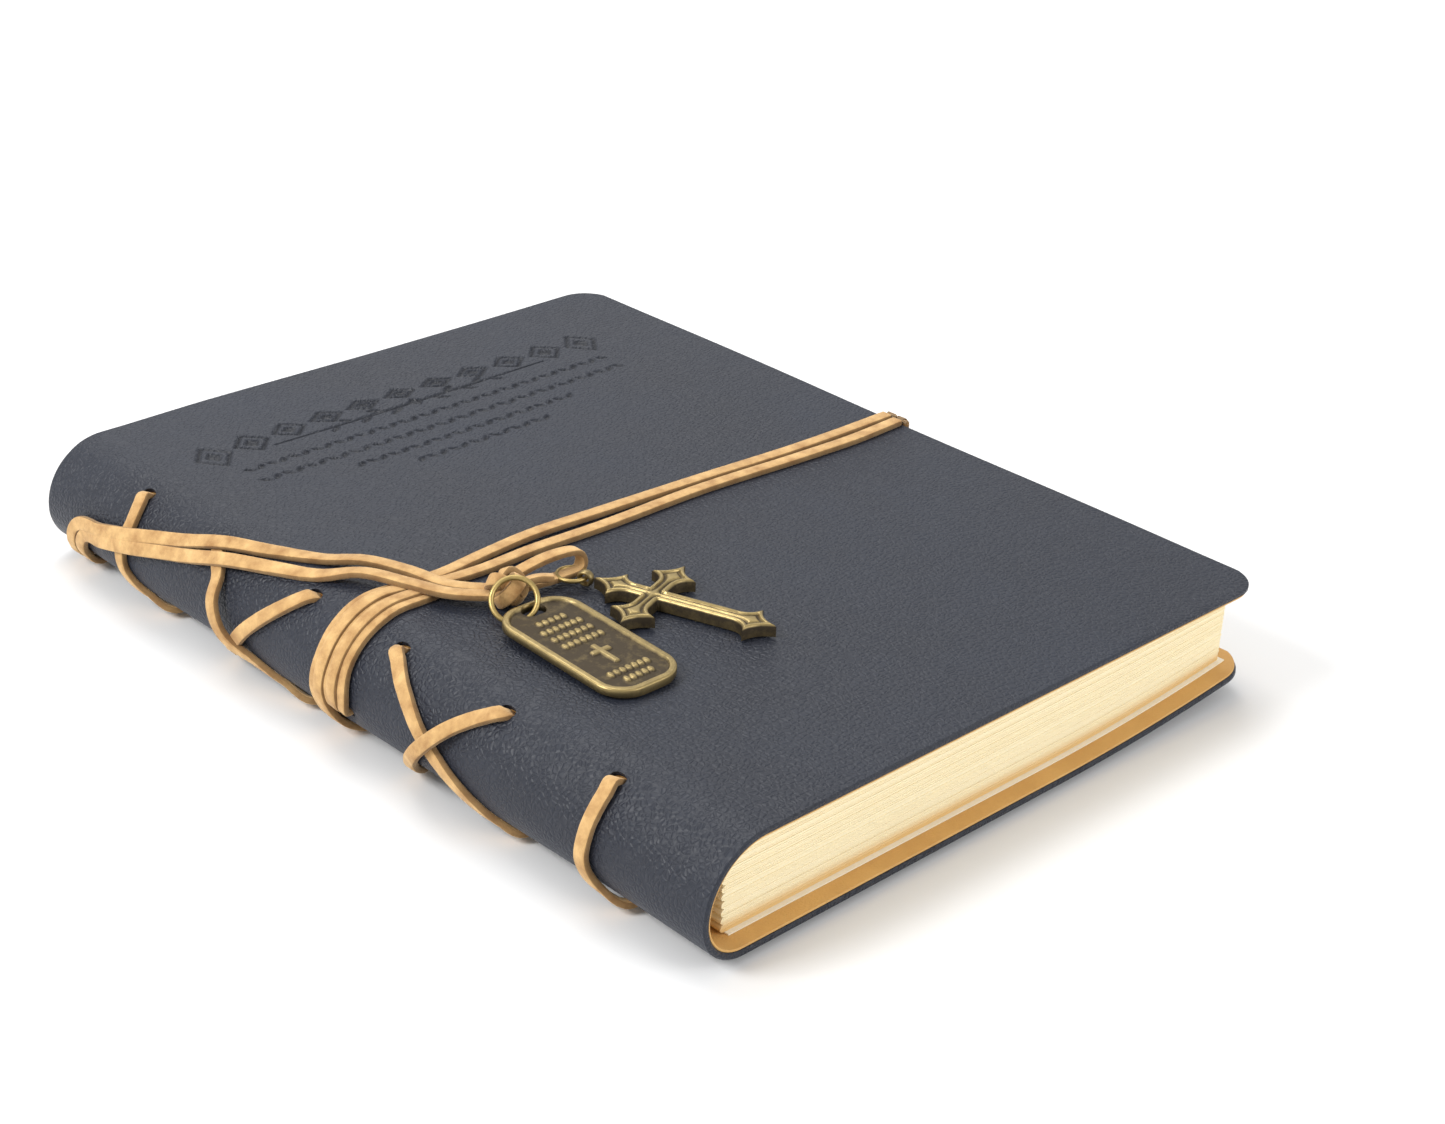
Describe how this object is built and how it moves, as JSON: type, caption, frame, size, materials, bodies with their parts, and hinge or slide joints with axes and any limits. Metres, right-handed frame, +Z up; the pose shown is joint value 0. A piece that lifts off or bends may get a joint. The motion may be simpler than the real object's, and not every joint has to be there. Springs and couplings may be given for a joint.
{
  "type": "prayer book",
  "caption": "Soft leather-covered prayer journal with gilt pages, suede-laced spine and a wrap tie that carries a tag and a cross charm.",
  "frame": {"origin": "centre of the footprint, on the surface the closed book lies on", "axes": "+X from the spine to the fore-edge, +Y from the tail to the head, +Z up out of the front cover"},
  "size_m": [0.157, 0.205, 0.033],
  "materials": {
    "navy_leather": "satin, fine pebble grain",
    "tan_lining": "matte kraft-coloured backing",
    "pages": "gilt cream page edges",
    "flyleaf_paper": "matte",
    "thread": "waxed",
    "suede_lace": "suede nap",
    "antique_brass": "antiqued, edges rubbed bright",
    "ring_brass": "satin"
  },
  "bodies": {
    "back_and_spine": {"back_flyleaf": "flyleaf_paper", "cover_leather_wrap": "navy_leather", "cover_lining_wrap": "tan_lining", "lace_1": "suede_lace", "lace_2": "suede_lace", "lace_3": "suede_lace", "lace_4": "suede_lace", "lace_5": "suede_lace", "lace_6": "suede_lace", "sewing_thread": "thread", "signature_01": "pages", "signature_02": "pages", "signature_03": "pages", "signature_04": "pages", "signature_05": "pages", "signature_06": "pages", "signature_07": "pages", "signature_08": "pages", "signature_09": "pages", "signature_10": "pages", "signature_11_fold": "pages", "signature_12_fold": "pages", "tie_bundle_spine": "suede_lace", "tie_diagonal_spine": "suede_lace", "tie_strands_back": "suede_lace", "tie_strands_fore_edge": "suede_lace"},
    "front_cover": {"cover_leather_front": "navy_leather", "cover_lining_front": "tan_lining", "tie_bundle_front": "suede_lace", "tie_diagonal_front": "suede_lace", "tie_strand_front_1": "suede_lace", "tie_strand_front_2": "suede_lace", "tie_knot": "suede_lace", "tie_loop": "suede_lace", "cross_ring": "ring_brass", "tag_ring": "ring_brass"},
    "flyleaf": {"front_flyleaf": "flyleaf_paper"},
    "upper_leaves": {"signature_12_leaves": "pages"},
    "lower_leaves": {"signature_11_leaves": "pages"},
    "name_tag": {"tag": "antique_brass"},
    "cross_charm": {"cross": "antique_brass"}
  },
  "joints": [
    {"name": "cover_hinge", "type": "hinge", "parent": "back_and_spine", "child": "front_cover", "pos_m": [-0.061, 0, 0.02925], "axis": [0, -1, 0], "range_deg": [0, 178], "deforming": ["tie_strands_fore_edge"]},
    {"name": "flyleaf_turn", "type": "hinge", "parent": "back_and_spine", "child": "flyleaf", "pos_m": [-0.061, 0, 0.02925], "axis": [0, -1, 0], "range_deg": [0, 176.22]},
    {"name": "upper_leaves_turn", "type": "hinge", "parent": "back_and_spine", "child": "upper_leaves", "pos_m": [-0.061, 0, 0.02925], "axis": [0, -1, 0], "range_deg": [0, 174.44]},
    {"name": "lower_leaves_turn", "type": "hinge", "parent": "back_and_spine", "child": "lower_leaves", "pos_m": [-0.061, 0, 0.02925], "axis": [0, -1, 0], "range_deg": [0, 172.66]},
    {"name": "tag_swing", "type": "hinge", "parent": "front_cover", "child": "name_tag", "pos_m": [-0.04706, -0.02345, 0.02765], "axis": [0, 0.0332, -0.9995], "range_deg": [0, 12]},
    {"name": "cross_swing", "type": "hinge", "parent": "front_cover", "child": "cross_charm", "pos_m": [-0.0298, -0.01855, 0.02725], "axis": [-0.9403, -0.3404, 0], "range_deg": [0, 35]}
  ],
  "couplings": [
    {"joint": "flyleaf_turn", "follows": "cover_hinge", "ratio": 0.99},
    {"joint": "upper_leaves_turn", "follows": "cover_hinge", "ratio": 0.98},
    {"joint": "lower_leaves_turn", "follows": "cover_hinge", "ratio": 0.97}
  ]
}
